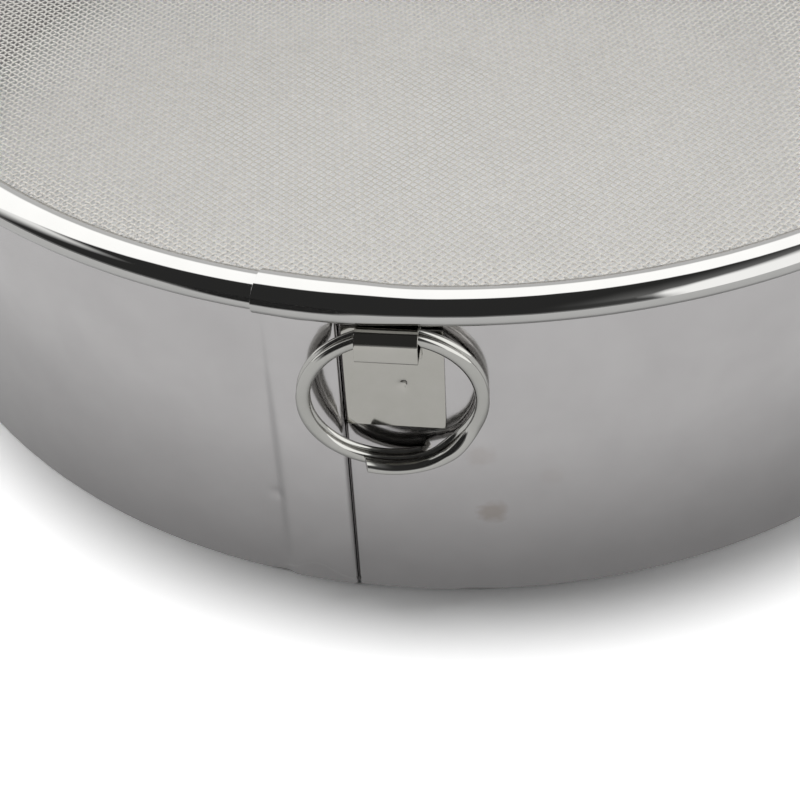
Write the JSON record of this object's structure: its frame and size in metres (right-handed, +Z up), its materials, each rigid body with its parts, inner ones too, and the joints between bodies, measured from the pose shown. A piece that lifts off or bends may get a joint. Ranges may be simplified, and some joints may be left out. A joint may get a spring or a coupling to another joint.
{
  "type": "drum flour sieve",
  "caption": "Round steel drum sieve: a seamed hoop open below, fine wire cloth across the top held by a rolled rim band, and a split hanging ring in a folded clip on the wall.",
  "frame": {"origin": "centre of the hoop's open lower end, on the surface that the sieve stands on", "axes": "+Z is up along the hoop's axis, towards the wire cloth; the clip and its ring are on the -Y side"},
  "size_m": [0.2078, 0.2088, 0.0605],
  "materials": {
    "hoop_sheet": "satin stainless sheet",
    "rim_sheet": "polished stainless strip",
    "wire_cloth": "plain-woven stainless wire cloth",
    "clip_strip": "bright rolled stainless strip",
    "ring_wire": "nickelled flat wire"
  },
  "bodies": {
    "drum": {"wall_hoop": "hoop_sheet", "rim_band": "rim_sheet", "mesh_disc": "wire_cloth", "hanger_clip": "clip_strip"},
    "ring": {"split_ring": "ring_wire"}
  },
  "joints": [
    {"name": "ring_swing", "type": "hinge", "parent": "drum", "child": "ring", "pos_m": [0, -0.1026, 0.0532], "axis": [-1, 0, 0], "range_deg": [0, 140]}
  ]
}
